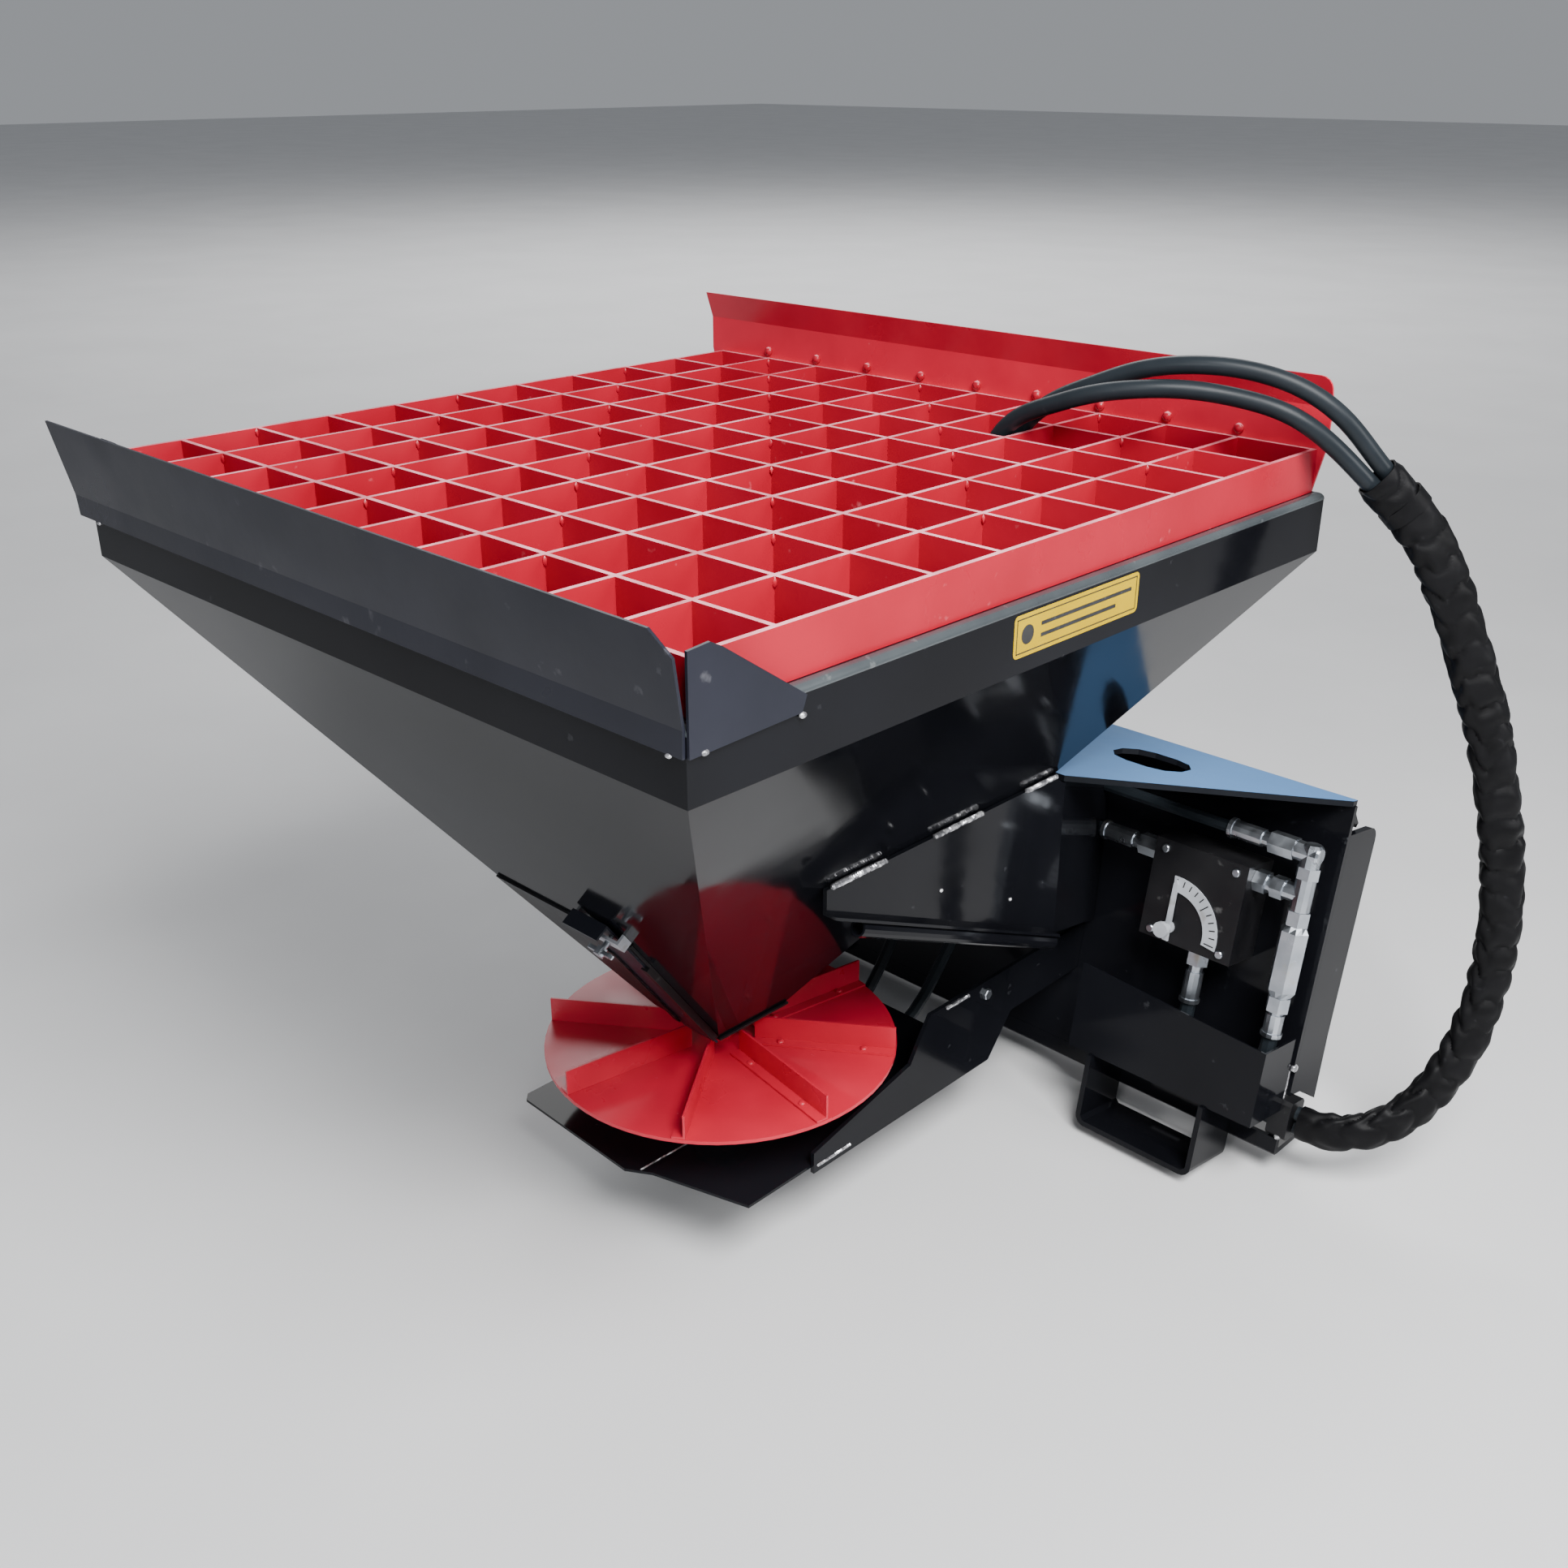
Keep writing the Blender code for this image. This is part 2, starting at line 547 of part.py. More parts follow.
def side_frame(side, word):
    """Plate welded under the hopper, leaning in to the loader plate, with a tube on its edge."""
    front, rear = -0.128, 0.5745
    edge_front, edge_rear = -0.457, -0.775
    fall = (edge_rear - edge_front) / (rear - front)

    def edge(y):
        return edge_front + (y - front) * fall

    outline = [(front, -0.4240), (0.308, -0.4240), (0.3255, -0.4375), (0.6280, -0.4905),
               (rear + 0.0035, edge_rear), (front, edge_front)]
    holes = []
    if side > 0:
        holes = [arc(0.5661, -0.6141, 0.0125, 0, 330, 11), arc(0.5774, -0.5501, 0.0125, 0, 330, 11)]
    low, high = span(side, SIDE_X - PLATE / 2, SIDE_X + PLATE / 2)
    made = prism("side_frame_" + word, outline, low, high, "X", BLACK, HOPPER, holes=holes)
    fold(made, "Y", SIDE_FOLD_Y, side * SIDE_SLOPE, "X")
    lip_rear = 0.325
    lip = [(front, edge(front) + 0.004), (front, edge(front)), (lip_rear, edge(lip_rear)),
           (lip_rear, edge(lip_rear) + 0.004)]
    low, high = span(side, SIDE_X, SIDE_X + 0.017)
    ledge = prism("ledge", lip, low, high, "X", BLACK, HOPPER)
    tube_front, tube_rear, radius = -0.078, 0.320, 0.011
    length = (tube_rear - tube_front) * math.hypot(1, fall)
    rail = turned("rail", [(0, radius), (length, radius)], (0, 0, 0), "Y", BLACK, HOPPER, sides=14)
    bore = turned("bore", [(-0.01, 0.008), (0.030, 0.008)], (0, 0, 0), "Y", BLACK, HOPPER, sides=14)
    combine(rail, [bore], "DIFFERENCE")
    rail.rotation_euler = (math.atan(fall), 0, 0)
    rail.location = (side * (SIDE_X + 0.006), tube_front, edge(tube_front) - 0.0112)
    combine(made, [ledge, rail], "UNION")


def frame_top_plate():
    """Tapered plate from the loader plate's top edge towards the hopper's rear wall, two slots."""
    outline = [(0.573, 0), (0.573, -0.012), (0.313, -0.3165), (-0.313, -0.3165), (-0.573, -0.012),
               (-0.573, 0)]
    slots = [slot_outline(side * 0.325, -0.120, 0.114, 0.080) for side in (1, -1)]
    prism("frame_top_plate", outline, -HEAVY, 0, "Z", BLUE, LOADER, holes=slots)


# ---------------------------------------------------------------- loader frame
def loader_plate():
    """Plate that faces the loader, with a corner cut out for the hoses."""
    face = [(-LOADER_HALF, -HEAVY - GAP), (-LOADER_HALF, -0.510), (0.425, -0.510),
            (0.425, -0.400), (LOADER_HALF, -0.400), (LOADER_HALF, -HEAVY - GAP)]
    prism("loader_plate", face, -HEAVY, 0, "Y", BLACK, LOADER)


def loader_hook_lip():
    """Sloping lip that the loader's upper edge lifts under."""
    outline = [(GAP, -0.0100), (0.0100, -0.0100), (0.0420, -0.0420), (0.0363, -0.0477),
               (GAP, -0.0117)]
    prism("loader_hook_lip", outline, -0.5645, 0.5645, "X", BLACK, LOADER)


def loader_cheek(side, word):
    outline = ([(GAP, -0.050)] + arc(0.067, -0.070, 0.020, 90, 0, 4)
               + [(0.086, -0.367), (0.091, -0.473), (0.032, -0.445), (GAP, -0.443)])
    low, high = span(side, LOADER_HALF - 0.010, LOADER_HALF)
    prism("loader_cheek_" + word, outline, low, high, "X", BLACK, LOADER)


def loader_latch_ledge():
    """Bottom ledge with the two slots that the loader's lock pins drop through."""
    outline = [(-HEAVY, -0.5103), (-HEAVY, -0.533), (-0.005, -0.536), (0.003, -0.536),
               (0.088, -0.523), (0.088, -0.515), (0.002, -0.5265), (0, -0.5103)]
    made = prism("loader_latch_ledge", outline, -LOADER_HALF, LOADER_HALF, "X", BLACK, LOADER)
    pins = [prism("pin_slot", box_outline(*sorted((side * 0.350, side * 0.410)), 0.030, 0.062),
                  -0.56, -0.50, "Z", BLACK, LOADER) for side in (1, -1)]
    combine(made, pins, "DIFFERENCE")


def stand(side, word):
    """Foot of broad flat bar bent to a U."""
    left, right, top, low, bend = 0.307, 0.502, -0.4640, -0.5758, 0.016
    outer = ([(right, top), (right, low + bend)] + arc(right - bend, low + bend, bend, 0, -90, 4)
             + arc(left + bend, low + bend, bend, 270, 180, 4) + [(left, top)])
    inner = [(left + HEAVY, top), (left + HEAVY, low + HEAVY + 0.006),
             (left + HEAVY + 0.006, low + HEAVY), (right - HEAVY - 0.006, low + HEAVY),
             (right - HEAVY, low + HEAVY + 0.006), (right - HEAVY, top)]
    prism("stand_" + word, flip(outer + inner, side), -0.1085, -0.0085, "Y", BLACK, LOADER)


def lower_cover():
    """Bent sheet in front of the hose ends, closed to the loader plate at its right end."""
    rear = -0.0130
    plan = [(0.270, -0.103), (0.5716, -0.103), (0.5716, rear), (0.5686, rear), (0.5686, -0.100),
            (0.270, -0.100)]
    low, high = -0.4635, -0.331
    made = prism("lower_cover", plan, low, high, "Z", BLACK, LOADER)
    for vert in made.data.vertices:
        if vert.co.z > low + 0.01:
            vert.co.z -= (vert.co.x - 0.270) * 0.066


# ---------------------------------------------------------------- hydraulics
def valve():
    block = box_outline(0.3348, 0.480, -0.262, -0.115)
    prism("valve_body", block, -0.0785, -HEAVY - GAP, "Y", IRON, LOADER)
    cx, cz = 0.380, -0.238
    outer, inner = 0.076, 0.054
    sweep = arc(cx, cz, outer, 94, -8, 12) + arc(cx, cz, inner, -8, 94, 12)
    prism("dial_plate", sweep, -0.0810, -0.0788, "Y", ZINC, LOADER)


def flow_lever():
    """Knob on the valve's shaft with a pointer bar, resting at the dial's upper end."""
    made = turned("flow_lever", [(-0.0260, 0.0115), (-0.0190, 0.0115), (-0.0190, 0.0055),
                                 (-0.0060, 0.0055), (-0.0060, 0.0090), (-GAP, 0.0090)],
                  (0, 0, 0), "Y", ZINC, LEVER, sides=16)
    bar = [(-0.0045, -0.020), (0.0045, -0.020), (0.0035, 0.066), (0, 0.072), (-0.0035, 0.066)]
    pointer = prism("pointer", bar, -0.0058, -0.0030, "Y", ZINC, LEVER)
    combine(made, [pointer], "UNION")
    smooth_shading(made)


def hose_end(hose, crimp, nut_start, nut_end):
    """Profile of a crimped hose end from the hose to its nut."""
    return [(hose, 0.0150), (hose + 0.006, 0.0150), (hose + 0.006, 0.0130),
            (crimp, 0.0130), (crimp, 0.0105), (nut_start, 0.0105), (nut_start, 0.0165, "hex"),
            (nut_end, 0.0165, "hex")]


def fittings():
    turned("fitting_1", hose_end(0.2333, 0.286, 0.298, 0.3345), (0, FLUID_Y, -0.142), "X", ZINC,
           LOADER, sides=12)
    turned("fitting_2", hose_end(0.4280, 0.478, 0.490, 0.5267), (0, FLUID_Y, -0.077), "X", ZINC,
           LOADER, sides=12)
    elbow = turned("elbow_fitting", [(0.5270, 0.0140), (0.5590, 0.0140), (0.5620, 0.0110)],
                   (0, FLUID_Y, -0.077), "X", ZINC, LOADER, sides=12)
    drop = turned("drop", [(-0.1117, 0.0165, "hex"), (-0.0950, 0.0165, "hex"), (-0.0950, 0.0140),
                           (-0.0660, 0.0140), (-0.0630, 0.0110)],
                  (0.549, FLUID_Y, 0), "Z", ZINC, LOADER, sides=12)
    combine(elbow, [drop], "UNION")
    tee = turned("tee_fitting", [(-0.1580, 0.0140), (-0.1120, 0.0140)], (0.549, FLUID_Y, 0), "Z",
                 ZINC, LOADER, sides=12)
    branch = turned("branch", [(0.4803, 0.0165, "hex"), (0.498, 0.0165, "hex"), (0.498, 0.0120),
                               (0.506, 0.0120), (0.506, 0.0165, "hex"), (0.524, 0.0165, "hex"),
                               (0.524, 0.0130), (0.548, 0.0130)],
                    (0, FLUID_Y, -0.1365), "X", ZINC, LOADER, sides=12)
    combine(tee, [branch], "UNION")
    turned("check_valve", [(-0.2850, 0.0150), (-0.2750, 0.0205, "hex"), (-0.1880, 0.0205, "hex"),
                           (-0.1800, 0.0150), (-0.1790, 0.0165, "hex"), (-0.1583, 0.0165, "hex")],
           (0.549, FLUID_Y, 0), "Z", ZINC, LOADER, sides=12)
    turned("check_hose_end", hose_end(-0.3452, -0.3120, -0.3070, -0.2853),
           (0.549, FLUID_Y, 0), "Z", ZINC, LOADER, sides=12)
    turned("fitting_3", hose_end(-0.3452, -0.2980, -0.2870, -0.2623),
           (0.419, FLUID_Y, 0), "Z", ZINC, LOADER, sides=12)


def hose_block():
    """Block in the loader plate's cut corner where the two long hoses leave the frame."""
    outline = [(-0.0125, -0.4535), (-0.0125, -0.5015), (-0.0075, -0.5065), (0.0235, -0.5065),
               (0.0285, -0.5015), (0.0285, -0.4535), (0.0235, -0.4485), (-0.0075, -0.4485)]
    prism("hose_block", outline, 0.5560, 0.5865, "X", STEEL, LOADER)


def hoses():
    tube("motor_hose_a", MOTOR_HOSE_A, MOTOR_HOSE_R, 0.030, RUBBER, HOPPER)
    tube("motor_hose_b", MOTOR_HOSE_B, MOTOR_HOSE_R, 0.034, RUBBER, HOPPER)
    tube("valve_hose_inner", STUB_INNER, HOSE_R, 0.016, RUBBER, LOADER)
    tube("valve_hose_outer", STUB_OUTER, HOSE_R, 0.020, RUBBER, LOADER)
    places, tangents = smooth_route(BUNDLE, 0.055)
    across = np.array([1, -1, 0]) / math.sqrt(2)
    outward = np.cross(tangents, across)
    outward /= np.linalg.norm(outward, axis=1)[:, None]
    inner = [*(places - outward * HOSE_SPREAD), *INNER_END]
    outer = [*(places + outward * HOSE_SPREAD), *OUTER_END]
    tube("supply_hose", inner, HOSE_R, 0.040, RUBBER, HOPPER)
    tube("return_hose", outer, HOSE_R, 0.040, RUBBER, HOPPER)


def hose_sleeve():
    """Flat oval fabric sleeve around both hoses, open at both ends."""
    places, tangents = smooth_route(BUNDLE, 0.040)
    across = np.array([1, -1, 0]) / math.sqrt(2)
    sides = 12
    shape = bmesh.new()
    skins = []
    for half_long, half_short in ((0.0290, 0.0175), (0.0255, 0.0140)):
        rings = []
        for place, tangent in list(zip(places, tangents))[1:]:
            outward = np.cross(tangent, across)
            outward /= np.linalg.norm(outward)
            depth = np.cross(outward, tangent)
            ring = []
            for k in range(sides):
                angle = 2 * math.pi * k / sides
                reach = abs(math.cos(angle)) ** 0.7 * math.copysign(1, math.cos(angle))
                offset = outward * (half_long * reach) + depth * (half_short * math.sin(angle))
                ring.append(shape.verts.new(place + offset))
            rings.append(ring)
        skins.append(rings)
    for rings in skins:
        for one, two in zip(rings, rings[1:]):
            for k in range(sides):
                after = (k + 1) % sides
                shape.faces.new((one[k], one[after], two[after], two[k]))
    for end in (0, -1):
        for k in range(sides):
            after = (k + 1) % sides
            shape.faces.new((skins[0][end][k], skins[0][end][after],
                             skins[1][end][after], skins[1][end][k]))
    smooth_shading(add("hose_sleeve", shape, FABRIC, HOPPER), 60)


def couplers():
    """Quick couplers that hang inside the hopper on the ends of the long hoses."""
    for name, end, front in (("supply_coupler", INNER_END[-1], 0.0165),
                             ("return_coupler", OUTER_END[-1], 0.0175)):
        x, y, z = end
        start = z - HOSE_GAP
        turned(name, [(start - 0.100, front - 0.004), (start - 0.096, front),
                      (start - 0.062, front), (start - 0.062, 0.0175, "hex"),
                      (start - 0.040, 0.0175, "hex"), (start - 0.040, 0.0135),
                      (start, 0.0135)],
               (x, y, 0), "Z", ZINC, HOPPER, sides=12)


hopper()
grate()
rear_deflector()
front_lip_guard()
mirrored(lip_wing)
outlet()
gate_rails()
gate_plate()
gate_bridge()
gate_clamp()
spinner()
spinner_pan()
motor()
mirrored(arm)
mirrored(side_frame)
frame_top_plate()
loader_plate()
loader_hook_lip()
mirrored(loader_cheek)
loader_latch_ledge()
mirrored(stand)
lower_cover()
valve()
flow_lever()
fittings()
hose_block()
hoses()
hose_sleeve()
couplers()
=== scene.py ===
"""Looks for the hydraulic salt spreader: paint, welds, bolts, hoses, sleeve, decal, light and camera.

Metres, +Z up, +X to the side with the valve. Places are in the hopper frame, whose origin is on the
hopper's axis at the top of the grate, or in the loader frame, tilted back against it.
"""
import json
import math

import bmesh
import bpy
import numpy as np
from mathutils import Euler, Matrix, Vector, noise

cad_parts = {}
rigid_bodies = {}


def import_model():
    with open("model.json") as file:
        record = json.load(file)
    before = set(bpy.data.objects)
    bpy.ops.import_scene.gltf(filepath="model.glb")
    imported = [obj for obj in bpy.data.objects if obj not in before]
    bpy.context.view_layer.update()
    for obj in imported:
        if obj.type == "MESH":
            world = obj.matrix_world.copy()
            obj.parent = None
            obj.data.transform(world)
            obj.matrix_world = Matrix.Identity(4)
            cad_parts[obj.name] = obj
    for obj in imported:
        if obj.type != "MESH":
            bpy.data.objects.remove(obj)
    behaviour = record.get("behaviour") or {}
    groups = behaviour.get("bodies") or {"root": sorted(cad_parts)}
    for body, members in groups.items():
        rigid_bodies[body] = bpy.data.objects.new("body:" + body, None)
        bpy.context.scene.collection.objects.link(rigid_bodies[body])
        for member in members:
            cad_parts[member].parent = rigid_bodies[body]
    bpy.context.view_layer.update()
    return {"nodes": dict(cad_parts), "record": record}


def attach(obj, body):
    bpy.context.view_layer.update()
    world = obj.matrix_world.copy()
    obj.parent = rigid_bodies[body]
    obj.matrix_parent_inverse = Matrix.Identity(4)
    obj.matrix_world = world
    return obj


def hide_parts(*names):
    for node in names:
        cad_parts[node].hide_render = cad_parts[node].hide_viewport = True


for old in list(bpy.data.objects):
    bpy.data.objects.remove(old, do_unlink=True)

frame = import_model()
nodes = frame["nodes"]

# ---------------------------------------------------------------- camera
EYE = Vector((1.400, -1.401, 1.477))
LOOK_AT = Vector((0.128, -0.093, 0.658))

camera = bpy.data.objects.new("camera", bpy.data.cameras.new("camera"))
camera.location = EYE
camera.rotation_euler = (LOOK_AT - EYE).to_track_quat("-Z", "Y").to_euler()
camera.data.lens = 37.29
camera.data.sensor_width = 36
bpy.context.scene.collection.objects.link(camera)
bpy.context.scene.camera = camera

# ---------------------------------------------------------------- places shared with the CAD source
HOPPER = Matrix.Translation((0, -0.0868, 1.0486))
TILT = math.radians(10)          # loader frame against the hopper
LOADER = HOPPER @ Matrix.Translation((0, 0.640, -0.483)) @ Euler((-TILT, 0, 0)).to_matrix().to_4x4()
SEAM_Y = -0.0095                 # of the beads in front of the loader plate, in the loader frame
PITCH = 0.1016                   # from one grate bar to the next
CELLS = 10                       # of the grate, each way
BAR = 0.006                      # thickness of a grate bar
GRATE_HALF = CELLS * PITCH / 2 + BAR / 2
BAR_LINES = [k * PITCH - CELLS * PITCH / 2 for k in range(CELLS + 1)]
HOPPER_HALF = 0.5225             # outer faces of the band round the hopper's top
DISC_TOP = -0.815
PAN_TOP = -0.915
VANES = 8
VANE_START = math.radians(-9.5)  # turn of the first vane

HOSE_R = 0.011
HOSE_SPREAD = 0.0113             # each hose from the middle of the bundle
SLEEVE_STEP = 0.0035             # between the sleeve's rings

# Hose routes, in the hopper frame: the bundle from the outlet block to the sleeve's mouth, then
# each hose over the grate and down into the hopper.
BUNDLE = [(0.5886, 0.5650, -0.9546), (0.6090, 0.5657, -0.9550), (0.6330, 0.5703, -0.9538),
          (0.6570, 0.5790, -0.9492), (0.6812, 0.5930, -0.9392), (0.7050, 0.6125, -0.9220),
          (0.7250, 0.6345, -0.8960), (0.7420, 0.6570, -0.8590), (0.7570, 0.6790, -0.8050),
          (0.7660, 0.6950, -0.7100), (0.7600, 0.6940, -0.5680), (0.7430, 0.6780, -0.4600),
          (0.7180, 0.6530, -0.3440), (0.6840, 0.6190, -0.2290), (0.6530, 0.5880, -0.1380),
          (0.6210, 0.5560, -0.0720), (0.5860, 0.5190, -0.0220)]
INNER_END = [(0.500, 0.446, 0.050), (0.449, 0.423, 0.064), (0.396, 0.392, 0.071),
             (0.347, 0.362, 0.069), (0.297, 0.342, 0.059), (0.250, 0.332, 0.042),
             (0.213, 0.329, 0.026), (0.184, 0.328, 0.003), (0.163, 0.328, -0.033),
             (0.151, 0.330, -0.078), (0.145, 0.332, -0.125), (0.144, 0.334, -0.170)]
OUTER_END = [(0.552, 0.484, 0.046), (0.515, 0.464, 0.074), (0.455, 0.436, 0.094),
             (0.388, 0.406, 0.097), (0.326, 0.388, 0.084), (0.278, 0.378, 0.064),
             (0.240, 0.371, 0.046), (0.208, 0.369, 0.025), (0.181, 0.368, -0.003),
             (0.161, 0.367, -0.042), (0.151, 0.368, -0.088), (0.148, 0.370, -0.140),
             (0.146, 0.372, -0.190)]


def smooth_route(points, step):
    """Evenly spaced points and tangents on the natural cubic spline through a route."""
    points = np.array(points, float)
    knots = np.concatenate([[0], np.cumsum(np.linalg.norm(np.diff(points, axis=0), axis=1))])
    gaps = np.diff(knots)
    size = len(points)
    system = np.eye(size)
    right = np.zeros((size, 3))
    for k in range(1, size - 1):
        system[k, k - 1:k + 2] = gaps[k - 1], 2 * (gaps[k - 1] + gaps[k]), gaps[k]
        right[k] = 6 * ((points[k + 1] - points[k]) / gaps[k]
                        - (points[k] - points[k - 1]) / gaps[k - 1])
    bend = np.linalg.solve(system, right)
    count = max(2, round(knots[-1] / step) + 1)
    places, tangents = [], []
    for s in np.linspace(0, knots[-1], count):
        k = min(int(np.searchsorted(knots, s, side="right")) - 1, size - 2)
        h = gaps[k]
        a = (knots[k + 1] - s) / h
        b = (s - knots[k]) / h
        place = (a * points[k] + b * points[k + 1]
                 + ((a ** 3 - a) * bend[k] + (b ** 3 - b) * bend[k + 1]) * h * h / 6)
        tangent = ((points[k + 1] - points[k]) / h
                   + ((3 * b * b - 1) * bend[k + 1] - (3 * a * a - 1) * bend[k]) * h / 6)
        places.append(place)
        tangents.append(tangent / np.linalg.norm(tangent))
    return np.array(places), np.array(tangents)


# ---------------------------------------------------------------- materials
class Look:
    """A procedural material: two colours mixed by noise, uneven gloss and a fine bump."""

    def __init__(self, name, metallic=0.0, specular=0.5):
        self.made = bpy.data.materials.new(name)
        self.made.use_nodes = True
        self.tree = self.made.node_tree
        self.shader = self.tree.nodes["Principled BSDF"]
        self.shader.inputs["Metallic"].default_value = metallic
        self.shader.inputs["Specular IOR Level"].default_value = specular
        self.where = self.node("ShaderNodeTexCoord").outputs["Object"]
        self.colour = None

    def node(self, kind, **inputs):
        """A new node with values for its inputs, whose names have _ for each space."""
        made = self.tree.nodes.new(kind)
        for name, value in inputs.items():
            made.inputs[name.replace("_", " ")].default_value = value
        return made

    def noise(self, scale, detail=4.0, stretch=None):
        """A noise texture's value; stretch scales its coordinates on each axis."""
        made = self.node("ShaderNodeTexNoise", Scale=scale, Detail=detail)
        source = self.where
        if stretch:
            mapping = self.node("ShaderNodeMapping", Scale=stretch)
            self.tree.links.new(source, mapping.inputs["Vector"])
            source = mapping.outputs["Vector"]
        self.tree.links.new(source, made.inputs["Vector"])
        return made.outputs["Fac"]

    def ramp(self, source, low, high):
        """The source stretched so that low gives 0 and high gives 1."""
        made = self.node("ShaderNodeMapRange", From_Min=low, From_Max=high)
        self.tree.links.new(source, made.inputs["Value"])
        return made.outputs["Result"]

    def mix(self, factor, first, second):
        """Two colours mixed; each is a tuple or another node's output."""
        made = self.tree.nodes.new("ShaderNodeMix")
        made.data_type = "RGBA"
        self.tree.links.new(factor, made.inputs["Factor"])
        for socket, value in ((made.inputs[6], first), (made.inputs[7], second)):
            if isinstance(value, tuple):
                socket.default_value = (*value, 1)
            else:
                self.tree.links.new(value, socket)
        return made.outputs[2]

    def base(self, first, second, scale):
        """Soft patches of two close colours."""
        self.colour = self.mix(self.ramp(self.noise(scale), 0.35, 0.65), first, second)
        return self

    def marks(self, colour, scale, low, high):
        """Sparse specks of another colour, where the noise is above low."""
        factor = self.ramp(self.noise(scale, 8.0), low, high)
        self.colour = self.mix(factor, self.colour, colour)
        return self

    def painted_top_light(self, colour, low=0.6, patches=(0.2, 0.75)):
        """Painted light: another colour, in patches, on faces whose normal's Z is above low; it
        paints the highlight on the grate's bars and the sky reflection on the top plate.
        """
        geometry = self.tree.nodes.new("ShaderNodeNewGeometry")
        split = self.tree.nodes.new("ShaderNodeSeparateXYZ")
        self.tree.links.new(geometry.outputs["Normal"], split.inputs["Vector"])
        facing = self.ramp(split.outputs["Z"], low, 0.95)
        patchy = self.ramp(self.noise(14.0), *patches)
        product = self.tree.nodes.new("ShaderNodeMath")
        product.operation = "MULTIPLY"
        self.tree.links.new(facing, product.inputs[0])
        self.tree.links.new(patchy, product.inputs[1])
        self.colour = self.mix(product.outputs[0], self.colour, colour)
        return self

    def gloss(self, low, high, scale=9.0):
        """Roughness between low and high."""
        rough = self.node("ShaderNodeMapRange", From_Min=0.3, From_Max=0.7, To_Min=low, To_Max=high)
        self.tree.links.new(self.noise(scale), rough.inputs["Value"])
        self.tree.links.new(rough.outputs["Result"], self.shader.inputs["Roughness"])
        return self

    def softer_edge(self, low, straight, glancing):
        """Less mirror-like where the surface is seen at a glancing angle, as on aged powder coat."""
        weight = self.node("ShaderNodeLayerWeight", Blend=0.5)
        fade = self.node("ShaderNodeMapRange", From_Min=low, From_Max=0.9, To_Min=straight,
                         To_Max=glancing)
        self.tree.links.new(weight.outputs["Facing"], fade.inputs["Value"])
        self.tree.links.new(fade.outputs["Result"], self.shader.inputs["Specular IOR Level"])
        return self

    def bump(self, scale, distance, strength, stretch=None):
        made = self.node("ShaderNodeBump", Strength=strength, Distance=distance)
        self.tree.links.new(self.noise(scale, 3.0, stretch), made.inputs["Height"])
        self.tree.links.new(made.outputs["Normal"], self.shader.inputs["Normal"])
        return self

    def done(self):
        self.tree.links.new(self.colour, self.shader.inputs["Base Color"])
        return self.made


BLACK = (Look("scene_gloss_black")
         .base((0.0034, 0.0036, 0.0048), (0.0058, 0.0062, 0.0082), 3.0)
         .marks((0.035, 0.036, 0.040), 45.0, 0.70, 0.80).gloss(0.05, 0.12)
         .softer_edge(0.45, 0.12, 0.008).bump(14.0, 0.0006, 0.10).done())
GUARD = (Look("scene_satin_black", specular=0.20)
         .base((0.010, 0.011, 0.017), (0.015, 0.016, 0.024), 5.0)
         .marks((0.06, 0.06, 0.07), 40.0, 0.68, 0.78).gloss(0.26, 0.40)
         .bump(70.0, 0.0004, 0.2).done())
# Rounded top edge of the hopper's black sheet: its lighter black and pale specks are a painted
# highlight along the bend.
RIM_PAINTED_HIGHLIGHT = (Look("scene_rim_edge_painted_highlight", specular=0.9)
       .base((0.030, 0.036, 0.040), (0.044, 0.052, 0.056), 12.0)
       .marks((0.12, 0.13, 0.13), 50.0, 0.64, 0.78).gloss(0.16, 0.28)
       .bump(90.0, 0.0003, 0.2).done())
DARK = (Look("scene_dark_plate", specular=0.25)
        .base((0.004, 0.004, 0.005), (0.009, 0.009, 0.010), 9.0)
        .marks((0.05, 0.05, 0.05), 60.0, 0.66, 0.76).gloss(0.32, 0.50)
        .bump(90.0, 0.0004, 0.3).done())
# Black top plate: the blue on its upward faces and the blue specks are a painted reflection of the
# sky, not paint.
TOP_PLATE_PAINTED_SKY = (Look("scene_top_plate_painted_sky", specular=0.12)
            .base((0.004, 0.005, 0.007), (0.007, 0.008, 0.011), 6.0)
            .painted_top_light((0.070, 0.175, 0.36), 0.80, (0.0, 0.25))
            .marks((0.14, 0.25, 0.42), 45.0, 0.70, 0.82).gloss(0.34, 0.48)
            .bump(60.0, 0.0004, 0.2).done())
# Red grate: the pale pink on the bars' upward faces is a painted highlight.
GRATE_RED = (Look("scene_grate_red", specular=0.3)
             .base((0.29, 0.004, 0.015), (0.35, 0.006, 0.021), 7.0)
             .marks((0.46, 0.08, 0.10), 60.0, 0.70, 0.80)
             .painted_top_light((0.86, 0.34, 0.40)).gloss(0.22, 0.40)
             .bump(180.0, 0.0003, 0.25).done())
RED = (Look("scene_spinner_red", specular=0.35)
       .base((0.42, 0.008, 0.026), (0.50, 0.012, 0.034), 8.0)
       .marks((0.56, 0.10, 0.12), 70.0, 0.72, 0.82).gloss(0.24, 0.40)
       .bump(40.0, 0.0003, 0.15).done())
ZINC = (Look("scene_zinc", metallic=1.0).base((0.50, 0.53, 0.57), (0.38, 0.41, 0.45), 30.0)
        .marks((0.42, 0.40, 0.32), 24.0, 0.64, 0.80).gloss(0.24, 0.42, 40.0)
        .bump(300.0, 0.0002, 0.2).done())
